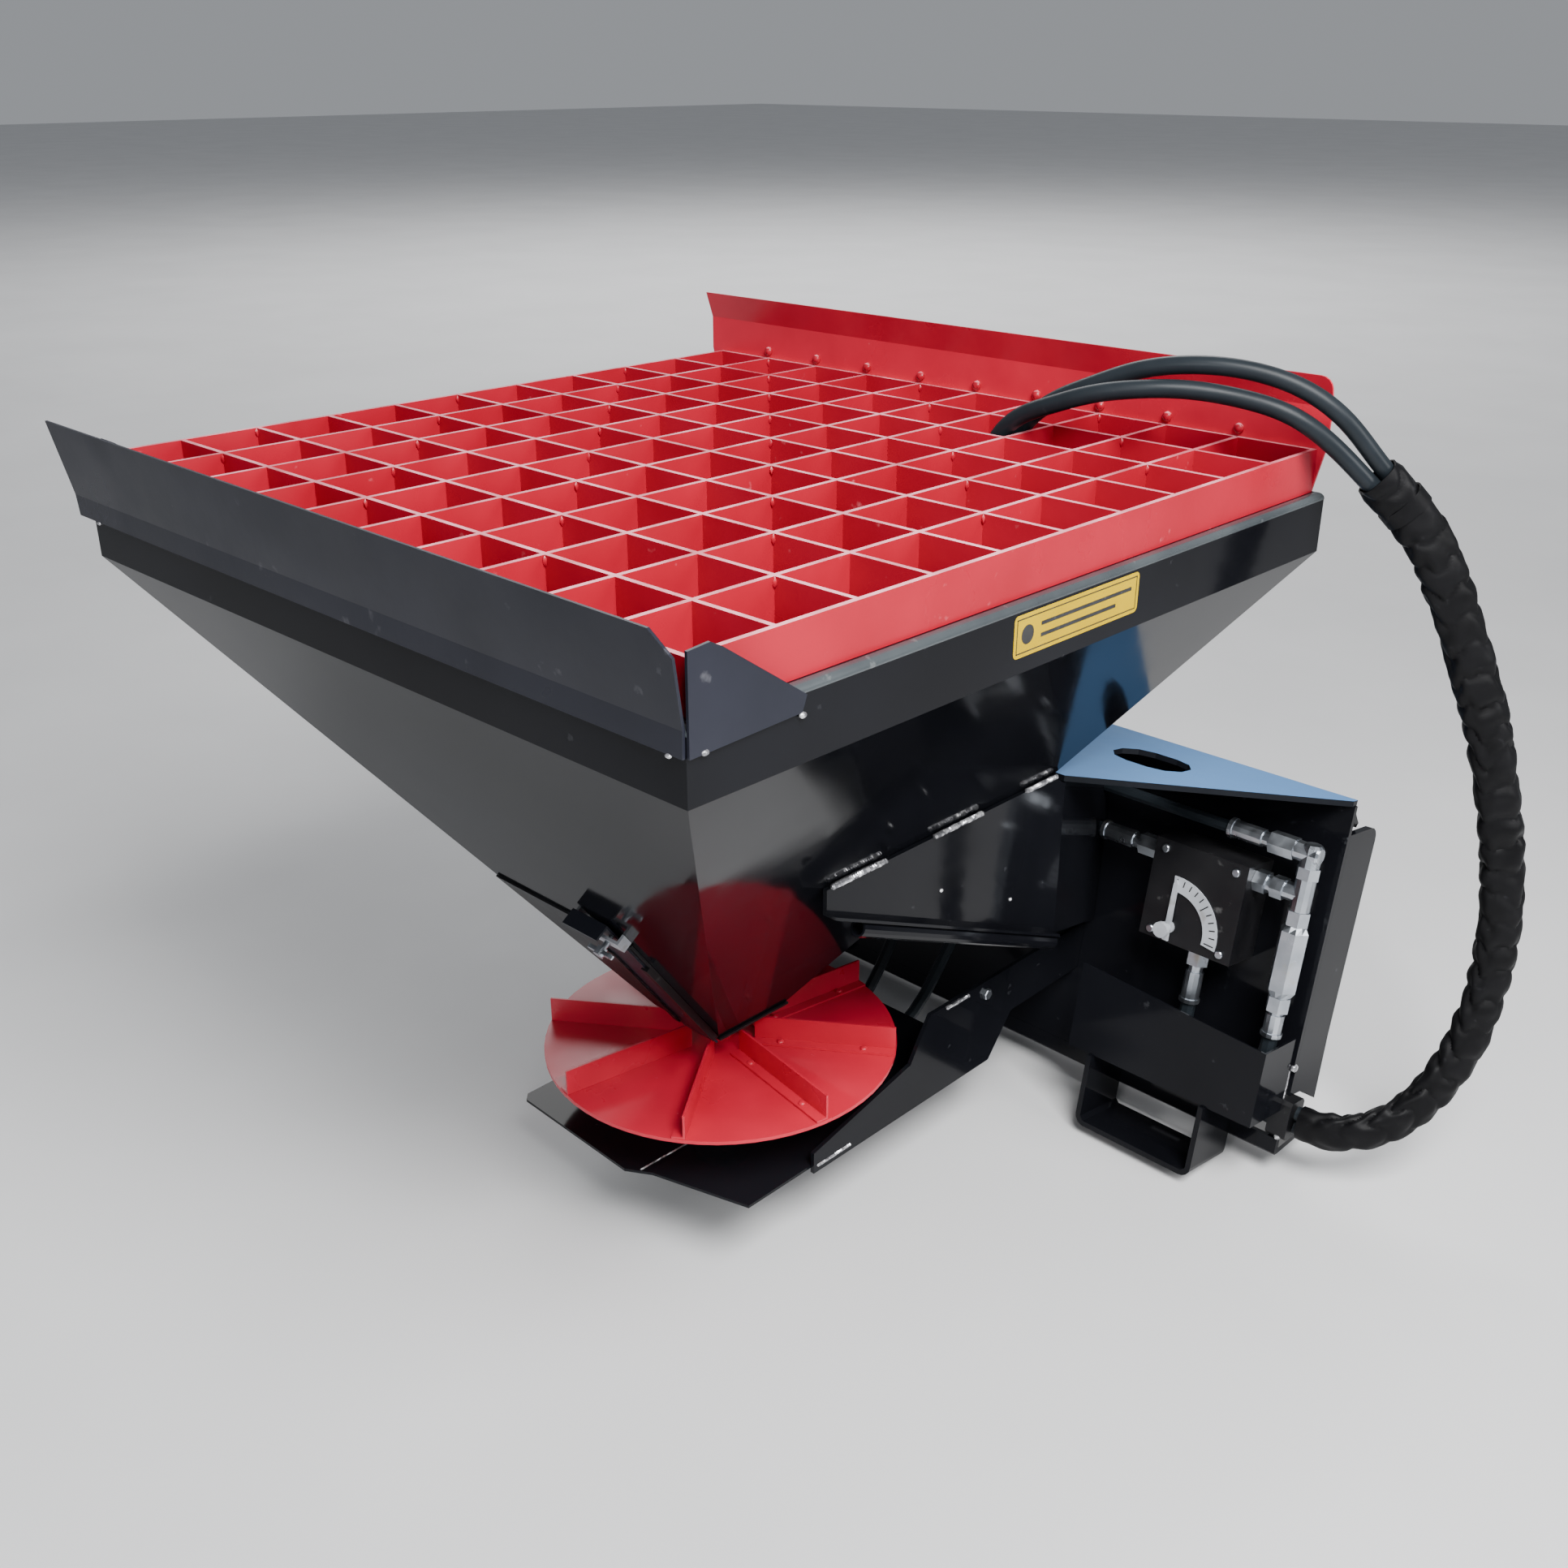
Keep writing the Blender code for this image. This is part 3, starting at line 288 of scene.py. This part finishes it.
STEEL = (Look("scene_steel", metallic=1.0).base((0.42, 0.42, 0.43), (0.30, 0.30, 0.31), 24.0)
         .marks((0.16, 0.12, 0.09), 30.0, 0.60, 0.72).gloss(0.25, 0.45, 40.0)
         .bump(260.0, 0.0003, 0.4, (1, 1, 6)).done())
CAST = (Look("scene_cast_black", specular=0.15)
        .base((0.004, 0.004, 0.005), (0.008, 0.008, 0.009), 20.0)
        .marks((0.03, 0.03, 0.03), 70.0, 0.66, 0.76).gloss(0.35, 0.55)
        .bump(240.0, 0.0006, 0.4).done())
RUBBER = (Look("scene_hose_rubber", specular=0.16)
          .base((0.009, 0.012, 0.015), (0.014, 0.018, 0.022), 12.0)
          .marks((0.04, 0.045, 0.05), 50.0, 0.70, 0.84).gloss(0.30, 0.45)
          .bump(420.0, 0.0002, 0.2).done())
FABRIC = (Look("scene_sleeve_fabric", specular=0.12)
          .base((0.0018, 0.0018, 0.0022), (0.0035, 0.0035, 0.0042), 30.0)
          .marks((0.014, 0.014, 0.016), 90.0, 0.66, 0.80).gloss(0.40, 0.58)
          .bump(700.0, 0.0003, 0.4).done())
# Weld beads on the black-painted frame: the light grey base and the near-white specks are a painted
# highlight.
WELD_PAINTED_HIGHLIGHT = (Look("scene_weld_painted_highlight", metallic=0.6).base((0.16, 0.16, 0.17), (0.34, 0.34, 0.36), 60.0)
        .marks((0.70, 0.70, 0.71), 120.0, 0.48, 0.62).gloss(0.16, 0.32)
        .bump(500.0, 0.0005, 0.5).done())
YELLOW = (Look("scene_decal_yellow", specular=0.05)
          .base((0.42, 0.275, 0.0), (0.46, 0.305, 0.0), 20.0)
          .marks((0.36, 0.24, 0.004), 90.0, 0.74, 0.86).gloss(0.50, 0.65)
          .bump(200.0, 0.0001, 0.2).done())
DIAL = (Look("scene_dial", metallic=0.25).base((0.36, 0.38, 0.41), (0.44, 0.46, 0.49), 30.0)
        .marks((0.25, 0.24, 0.22), 40.0, 0.60, 0.76).gloss(0.42, 0.58)
        .bump(260.0, 0.0002, 0.3).done())
INK = (Look("scene_decal_black").base((0.010, 0.010, 0.010), (0.018, 0.018, 0.018), 40.0)
       .marks((0.06, 0.06, 0.05), 90.0, 0.60, 0.75).gloss(0.35, 0.50)
       .bump(200.0, 0.0001, 0.2).done())
FLOOR = (Look("scene_floor", specular=0.2).base((0.58, 0.58, 0.585), (0.61, 0.61, 0.615), 1.5)
         .gloss(0.60, 0.75).bump(30.0, 0.0003, 0.1).done())

# The look of each material slot, and of the pieces whose look differs from their slot's.
FINISHES = {"gloss_black_paint": BLACK, "top_plate_paint": TOP_PLATE_PAINTED_SKY, "red_powder_coat": RED,
            "zinc_plate": ZINC, "bare_steel": STEEL, "cast_black_paint": CAST,
            "hose_rubber": RUBBER, "sleeve_fabric": FABRIC}
SPECIAL = {"grate": GRATE_RED, "front_lip_guard": GUARD, "lip_wing_right": GUARD,
           "lip_wing_left": GUARD, "gate_rails": DARK, "gate_plate": GUARD, "gate_bridge": DIAL,
           "outlet_floor": DARK, "hose_block": DARK, "dial_plate": DIAL, "flow_lever": DIAL,
           "valve_body": DARK}

for part in frame["record"]["subparts"]:
    node = nodes[part["node"]]
    node.data.materials.clear()
    node.data.materials.append(SPECIAL.get(part["node"], FINISHES[part["material_slot"]]))


# ---------------------------------------------------------------- tools
SHARP = math.radians(40)         # edges that bend more than this stay crisp
DRUM_SIDES = 20
DRUM_CHAMFER = 0.0012


def place(name, shape, mat, slot, body, world, smooth=True):
    """Make the bmesh a piece in the given frame, riding on a CAD body."""
    bmesh.ops.recalc_face_normals(shape, faces=shape.faces)
    mesh = bpy.data.meshes.new(name)
    shape.to_mesh(mesh)
    shape.free()
    mesh.transform(world)
    mesh.materials.append(mat)
    made = bpy.data.objects.new(name, mesh)
    bpy.context.scene.collection.objects.link(made)
    if smooth:
        mesh.shade_smooth()
        mesh.set_sharp_from_angle(angle=SHARP)
    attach(made, body)
    return made


def skin(shape, rings):
    """Join each closed ring of vertices to the next."""
    for one, two in zip(rings, rings[1:]):
        for k in range(len(one)):
            after = (k + 1) % len(one)
            shape.faces.new((one[k], one[after], two[after], two[k]))


def blob(shape, centre, size, fine=2):
    """Add a squashed ball; size is its three half widths."""
    made = bmesh.ops.create_icosphere(shape, subdivisions=fine, radius=1.0)
    for vert in made["verts"]:
        ripple = 1 + 0.12 * noise.noise(vert.co * 2.1 + Vector(centre) * 90)
        vert.co = Vector(centre) + Vector(c * s for c, s in zip(vert.co * ripple, size))


def bead(shape, start, end, radius):
    """Add a row of overlapping puddles from start to end."""
    start, end = Vector(start), Vector(end)
    length = (end - start).length
    count = max(2, round(length / (radius * 0.9)))
    for k in range(count + 1):
        wobble = 1 + 0.15 * noise.noise(start * 70 + Vector((k * 1.7, 0, 0)))
        blob(shape, start.lerp(end, k / count), [radius * wobble] * 3, fine=1)


def drum(shape, centre, axis, radius, height, hexagon=False):
    """Add a short cylinder or a hexagon along one axis, with a small chamfer at its outer end."""
    along = Vector(axis).normalized()
    across = along.orthogonal().normalized()
    up = along.cross(across)
    sides = 6 if hexagon else DRUM_SIDES
    chamfer = min(DRUM_CHAMFER, height * 0.3)
    rings = []
    for distance, reach in ((0, radius), (height - chamfer, radius), (height, radius - chamfer)):
        ring = []
        for k in range(sides):
            angle = 2 * math.pi * k / sides
            offset = across * math.cos(angle) + up * math.sin(angle)
            ring.append(shape.verts.new(Vector(centre) + along * distance + offset * reach))
        rings.append(ring)
    shape.faces.new(rings[0][::-1])
    shape.faces.new(rings[-1])
    skin(shape, rings)


# ---------------------------------------------------------------- welds
def grate_welds():
    """A small bead in every third corner where two bars cross or a bar meets the border."""
    shape = bmesh.new()
    corner = 0.0036
    for i, x in enumerate(BAR_LINES):
        for j, y in enumerate(BAR_LINES):
            for sx in (-1, 1):
                for sy in (-1, 1):
                    inside = abs(x + sx * 0.01) < GRATE_HALF and abs(y + sy * 0.01) < GRATE_HALF
                    if inside and (i + j + (sx > 0) + 2 * (sy > 0)) % 3 == 0:
                        blob(shape, (x + sx * corner, y + sy * corner, -0.006),
                             (0.0030, 0.0030, 0.0060), fine=1)
    place("grate_welds", shape, GRATE_RED, "red_powder_coat", "frame", HOPPER)


def frame_welds():
    """Beads and tacks on the hopper, the side frames, the arms and the spinner's pan."""
    shape = bmesh.new()
    seam_x, seam_z, seam_r = 0.3145, -0.4225, 0.0040
    for side in (1, -1):
        # top edge of a side frame, in three runs
        for start, end in ((-0.118, -0.030), (0.062, 0.150), (0.245, 0.306)):
            bead(shape, (side * seam_x, start, seam_z), (side * seam_x, end, seam_z), seam_r)
        # tacks on its outer face
        for y, z in ((0.078, -0.502), (0.223, -0.570)):
            blob(shape, (side * 0.3140, y, z), (0.0020, 0.0030, 0.0025))
        # outer face of an arm, near its top edge and beside the pan
        bead(shape, (side * 0.207, 0.242, -0.7900), (side * 0.207, 0.288, -0.7900), 0.0028)
        bead(shape, (side * 0.2065, -0.022, PAN_TOP), (side * 0.2065, 0.040, PAN_TOP), 0.0026)
        # lower edge of a lip wing
        for y in (-0.392, -0.505):
            blob(shape, (side * (HOPPER_HALF + 0.0030), y, -0.0785), (0.0025, 0.0045, 0.0030))
    # lower edge of the front lip guard
    for x in (-0.505, 0.505):
        blob(shape, (x, -HOPPER_HALF - 0.003, -0.081), (0.004, 0.0028, 0.0022))
    # crease in the front of the pan
    crease_z = PAN_TOP + 0.0002
    bead(shape, (0.0485, -0.080, crease_z), (0.0455, -0.192, crease_z), 0.0015)
    place("frame_welds", shape, WELD_PAINTED_HIGHLIGHT, "gloss_black_paint", "frame", HOPPER)


def loader_welds():
    """Beads in front of the loader plate: at its ends, under the top plate and on the stands."""
    shape = bmesh.new()
    top_z, bead_r = -0.0100, 0.0030
    for side in (1, -1):
        bead(shape, (side * 0.569, -0.0090, -0.445), (side * 0.569, -0.0090, -0.405), 0.0032)
        blob(shape, (side * 0.574, -0.004, -0.398), (0.005, 0.007, 0.006))
        blob(shape, (side * 0.574, -0.006, -0.505), (0.005, 0.007, 0.006))
        for x in (0.311, 0.498):
            bead(shape, (side * x, SEAM_Y, -0.560), (side * x, SEAM_Y, -0.515), bead_r)
        bead(shape, (side * 0.540, SEAM_Y, top_z), (side * 0.400, SEAM_Y, top_z), bead_r)
    for start, end in ((-0.300, -0.060), (0.060, 0.300)):
        bead(shape, (start, SEAM_Y, top_z), (end, SEAM_Y, top_z), bead_r)
    place("loader_welds", shape, WELD_PAINTED_HIGHLIGHT, "gloss_black_paint", "frame", LOADER)


def rim_roll():
    """Smooth quarter round on the hopper's top edge, over the flats of the bent sheet."""
    shape = bmesh.new()
    centre_half, centre_z, radius = HOPPER_HALF - 0.008, -0.060, 0.0083
    rings = []
    for k in range(13):          # from 6 degrees below level to 6 degrees past upright
        angle = math.radians(-6 + 8.5 * k)
        half = centre_half + radius * math.cos(angle)
        z = centre_z + radius * math.sin(angle)
        rings.append([shape.verts.new((half * x, half * y, z))
                      for x, y in ((1, 1), (-1, 1), (-1, -1), (1, -1))])
    skin(shape, rings)
    place("rim_roll", shape, RIM_PAINTED_HIGHLIGHT, "gloss_black_paint", "frame", HOPPER)


# ---------------------------------------------------------------- bolts and screws
def deflector_bolts():
    """A round head on the deflector's front face above each inner bar, with a nut behind."""
    shape = bmesh.new()
    height = 0.0100
    for x in BAR_LINES[1:-1]:
        blob(shape, (x, GRATE_HALF - 0.0020, height), (0.0065, 0.0050, 0.0065), fine=3)
    place("deflector_bolts", shape, GRATE_RED, "red_powder_coat", "frame", HOPPER)
    nuts = bmesh.new()
    for x in BAR_LINES[1:-1]:
        drum(nuts, (x, GRATE_HALF + 0.0033, height), (0, 1, 0), 0.0075, 0.006, hexagon=True)
    place("deflector_nuts", nuts, ZINC, "zinc_plate", "frame", HOPPER)


def drive_bolts():
    """A bolt head on each arm, and two on the pan that hold the motor's flange."""
    shape = bmesh.new()
    for side in (1, -1):
        drum(shape, (side * 0.2063, 0.330, -0.8050), (side, 0, 0), 0.0085, 0.0060, hexagon=True)
        drum(shape, (side * 0.060, 0, PAN_TOP), (0, 0, 1), 0.0090, 0.0065, hexagon=True)
    place("drive_bolts", shape, ZINC, "zinc_plate", "frame", HOPPER)


def vane_screws():
    """Two round heads through each vane's foot."""
    shape = bmesh.new()
    beside, head_half, head_height = 0.0095, 0.0052, 0.0034
    for k in range(VANES):
        turn = VANE_START + k * 2 * math.pi / VANES
        for along in (0.085, 0.200):
            x = along * math.cos(turn) + beside * math.sin(turn)
            y = along * math.sin(turn) - beside * math.cos(turn)
            blob(shape, (x, y, head_height), (head_half, head_half, head_height), fine=3)
    place("vane_screws", shape, RED, "red_powder_coat", "spinner",
          HOPPER @ Matrix.Translation((0, 0, DISC_TOP)))


def valve_screws():
    """A round head near each corner of the valve body's front face."""
    shape = bmesh.new()
    front = -0.0785
    for x, z in ((0.352, -0.250), (0.352, -0.128), (0.463, -0.128), (0.463, -0.250)):
        drum(shape, (x, front, z), (0, -1, 0), 0.0058, 0.0045)
    place("valve_screws", shape, ZINC, "zinc_plate", "frame", LOADER)


def dial_marks():
    """Eleven ticks round the dial, longer at each end and in the middle."""
    shape = bmesh.new()
    face = -0.0810
    centre = Vector((0.380, face - 0.0002, -0.238))
    long_inner, short_inner, outer = 0.058, 0.064, 0.073
    half, thick = 0.0009, Vector((0, 0.0003, 0))
    for k in range(11):
        angle = math.radians(-4 + 9.4 * k)
        inner = long_inner if k % 5 == 0 else short_inner
        way = Vector((math.cos(angle), 0, math.sin(angle)))
        wide = Vector((-way.z, 0, way.x)) * half
        corners = [centre + way * inner - wide, centre + way * outer - wide,
                   centre + way * outer + wide, centre + way * inner + wide]
        front = [shape.verts.new(c) for c in corners]
        back = [shape.verts.new(c + thick) for c in corners]
        shape.faces.new(front)
        shape.faces.new(back[::-1])
        skin(shape, [front, back])
    place("dial_marks", shape, INK, "zinc_plate", "frame", LOADER, smooth=False)


# ---------------------------------------------------------------- decal
def rounded_plate(shape, x, y0, y1, z0, z1, radius, thick):
    """Add a thin plate with round corners, facing +X."""
    outline = []
    for cy, cz, start in ((y1 - radius, z1 - radius, 0), (y0 + radius, z1 - radius, 90),
                          (y0 + radius, z0 + radius, 180), (y1 - radius, z0 + radius, 270)):
        for k in range(6):
            angle = math.radians(start + 18 * k)
            outline.append((cy + radius * math.cos(angle), cz + radius * math.sin(angle)))
    low = [shape.verts.new((x, y, z)) for y, z in outline]
    high = [shape.verts.new((x + thick, y, z)) for y, z in outline]
    shape.faces.new(low[::-1])
    shape.faces.new(high)
    skin(shape, [low, high])


def side_decal():
    """Plain yellow decal with a black frame, two bars and a dot, without lettering."""
    y0, y1, z0, z1 = -0.094, 0.122, -0.108, -0.064
    corner, thick, ink_corner, ink_thick = 0.006, 0.0004, 0.0004, 0.0002
    plate = bmesh.new()
    rounded_plate(plate, HOPPER_HALF, y0, y1, z0, z1, corner, thick)
    place("decal_yellow", plate, YELLOW, "gloss_black_paint", "frame", HOPPER, smooth=False)
    ink = bmesh.new()
    face = HOPPER_HALF + thick
    edge, line = 0.004, 0.0012
    border = ((y0 + edge, y1 - edge, z1 - edge - line, z1 - edge),
              (y0 + edge, y1 - edge, z0 + edge, z0 + edge + line),
              (y0 + edge, y0 + edge + line, z0 + edge, z1 - edge),
              (y1 - edge - line, y1 - edge, z0 + edge, z1 - edge))
    bars = ((-0.050, 0.108, -0.082, -0.078), (-0.050, 0.080, -0.094, -0.090))
    for box in (*border, *bars):
        rounded_plate(ink, face, *box, ink_corner, ink_thick)
    dot, dot_corner = (-0.082, -0.062, -0.096, -0.076), 0.0099
    rounded_plate(ink, face, *dot, dot_corner, ink_thick)
    place("decal_ink", ink, INK, "gloss_black_paint", "frame", HOPPER, smooth=False)


# ---------------------------------------------------------------- hoses and sleeve
def outward_of(tangents):
    """Direction from the inner hose to the outer one at each point of the bundle."""
    across = np.array([1, -1, 0]) / math.sqrt(2)
    out = np.cross(tangents, across)
    return out / np.linalg.norm(out, axis=1)[:, None]


def hose(name, route, radius):
    """A hose as a fine round curve."""
    places, _ = smooth_route(route, 0.010)
    curve = bpy.data.curves.new(name, "CURVE")
    curve.dimensions = "3D"
    curve.bevel_depth = radius
    curve.bevel_resolution = 7
    curve.use_fill_caps = True
    spline = curve.splines.new("POLY")
    spline.points.add(len(places) - 1)
    for point, spot in zip(spline.points, places):
        point.co = (*(HOPPER @ Vector(spot)), 1)
    spline.use_smooth = True
    curve.materials.append(RUBBER)
    made = bpy.data.objects.new(name, curve)
    bpy.context.scene.collection.objects.link(made)
    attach(made, "frame")
    return made


def length_of(route):
    """Length of the smooth curve through a route."""
    places, _ = smooth_route(route, 0.005)
    return float(np.linalg.norm(np.diff(places, axis=0), axis=1).sum())


def flattened(angle):
    """Cosine with its shoulders pushed out, for the sleeve's flat-sided outline."""
    return abs(math.cos(angle)) ** 0.75 * math.copysign(1, math.cos(angle))


def sleeve():
    """Wrinkled fabric sleeve around both hoses, smooth near its lower end, open at the top."""
    places, tangents = smooth_route(BUNDLE, SLEEVE_STEP)
    first = 2                    # the sleeve starts clear of the outlet block
    places, tangents = places[first:], tangents[first:]
    out = outward_of(tangents)
    depth = np.cross(out, tangents)
    steps = np.concatenate([[0], np.cumsum(np.linalg.norm(np.diff(places, axis=0), axis=1))])
    total = steps[-1]
    half_wide, half_deep, sides = 0.0262, 0.0165, 48
    fold_gap, puff_size, crease_size = 0.040, 0.0052, 0.0026
    lower_fade, upper_fade = 0.05, 0.02
    shape = bmesh.new()
    rings = []
    for spot, wide, deep, s in zip(places, out, depth, steps):
        settle = min(1.0, s / lower_fade) * min(1.0, (total - s) / upper_fade + 0.3)
        ring = []
        for k in range(sides):
            angle = 2 * math.pi * k / sides
            drift = noise.noise(Vector((s * 9, angle, 3)))
            phase = s / fold_gap + 0.35 * math.sin(angle) + 0.8 * drift
            puff = abs(math.sin(math.pi * phase)) ** 0.6
            crease = noise.noise(Vector((math.cos(angle) * 1.6, math.sin(angle) * 1.6, s * 55)))
            grow = settle * (puff_size * (puff - 0.45) + crease_size * crease)
            offset = (wide * ((half_wide + grow) * flattened(angle))
                      + deep * ((half_deep + grow) * math.sin(angle)))
            ring.append(shape.verts.new(HOPPER @ Vector(spot + offset)))
        rings.append(ring)
    for end, inward in ((0, 1), (-1, -1)):
        edge = rings[end]
        centre = HOPPER @ Vector(places[end])
        lip = [shape.verts.new(centre + (v.co - centre) * 0.93) for v in edge]
        deeper = HOPPER @ Vector(places[end + 6 * inward])
        inner = [shape.verts.new(deeper + (v.co - centre) * 0.90) for v in edge]
        rings = [inner, lip] + rings if inward > 0 else rings + [lip, inner]
    skin(shape, rings)
    made = place("sleeve", shape, FABRIC, "sleeve_fabric", "frame", Matrix.Identity(4))
    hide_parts("hose_sleeve")
    return made


def sleeve_tie():
    """Strap round the sleeve below its mouth."""
    places, tangents = smooth_route(BUNDLE, SLEEVE_STEP)
    out = outward_of(tangents)
    depth = np.cross(out, tangents)
    half_wide, half_deep, thick, sides = 0.0276, 0.0178, 0.0022, 36
    low, high = 19, 13           # the strap's edges, in steps below the mouth
    shape = bmesh.new()
    rings = []
    for back, grow in ((low, 0.0), (low, thick), (high, thick), (high, 0.0)):
        spot, wide, deep = places[-back], out[-back], depth[-back]
        ring = []
        for k in range(sides):
            angle = 2 * math.pi * k / sides
            offset = (wide * ((half_wide + grow) * flattened(angle))
                      + deep * ((half_deep + grow) * math.sin(angle)))
            ring.append(shape.verts.new(HOPPER @ Vector(spot + offset)))
        rings.append(ring)
    skin(shape, [*rings, rings[0]])
    return place("sleeve_tie", shape, FABRIC, "sleeve_fabric", "frame", Matrix.Identity(4))


def cords():
    """Both hoses as fine curves in place of the CAD hoses, and the sleeve with its tie."""
    places, tangents = smooth_route(BUNDLE, 0.055)
    out = outward_of(tangents)
    inner = [*(places - out * HOSE_SPREAD), *INNER_END]
    outer = [*(places + out * HOSE_SPREAD), *OUTER_END]
    cover, tie = sleeve(), sleeve_tie()
    for name, route, coupler, pieces in (
            ("supply_hose_fine", inner, "supply_coupler", [cover, tie, nodes["hose_block"]]),
            ("return_hose_fine", outer, "return_coupler", [])):
        made = hose(name, route, HOSE_R)
        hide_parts(name.replace("_fine", ""))
        length_of(route)


# ---------------------------------------------------------------- build
cords()
grate_welds()
frame_welds()
loader_welds()
rim_roll()
deflector_bolts()
drive_bolts()
vane_screws()
valve_screws()
dial_marks()
side_decal()


# ---------------------------------------------------------------- stage and light
def stage():
    """Pale studio floor, just below the feet."""
    floor = bpy.data.meshes.new("floor")
    reach = 40.0
    corners = [(x * reach, y * reach, 0) for x, y in ((-1, -1), (1, -1), (1, 1), (-1, 1))]
    floor.from_pydata(corners, [], [(0, 1, 2, 3)])
    floor.materials.append(FLOOR)
    made = bpy.data.objects.new("floor", floor)
    made.location.z = -0.001
    bpy.context.scene.collection.objects.link(made)


def softbox(name, location, target, width, height, power):
    """A rectangular lamp aimed at the target."""
    data = bpy.data.lights.new(name, "AREA")
    data.shape = "RECTANGLE"
    data.size = width
    data.size_y = height
    data.energy = power
    made = bpy.data.objects.new(name, data)
    made.location = location
    made.rotation_euler = (Vector(target) - Vector(location)).to_track_quat("-Z", "Y").to_euler()
    bpy.context.scene.collection.objects.link(made)


stage()
middle = (0.0, 0.0, 0.7)
softbox("overhead", (2.1, -0.9, 3.1), middle, 1.5, 1.5, 290)
softbox("right_side", (3.6, 0.9, 2.0), middle, 1.2, 1.6, 70)
softbox("backdrop", (-6.5, 7.5, 6.5), (-6.5, 7.5, 0.0), 8.0, 8.0, 1000)
softbox("front", (1.5, -3.6, 2.4), middle, 1.2, 1.2, 40)
world = bpy.data.worlds.new("studio")
world.use_nodes = True
background = world.node_tree.nodes["Background"]
background.inputs["Color"].default_value = (0.90, 0.94, 1.0, 1)
background.inputs["Strength"].default_value = 0.34
bpy.context.scene.world = world
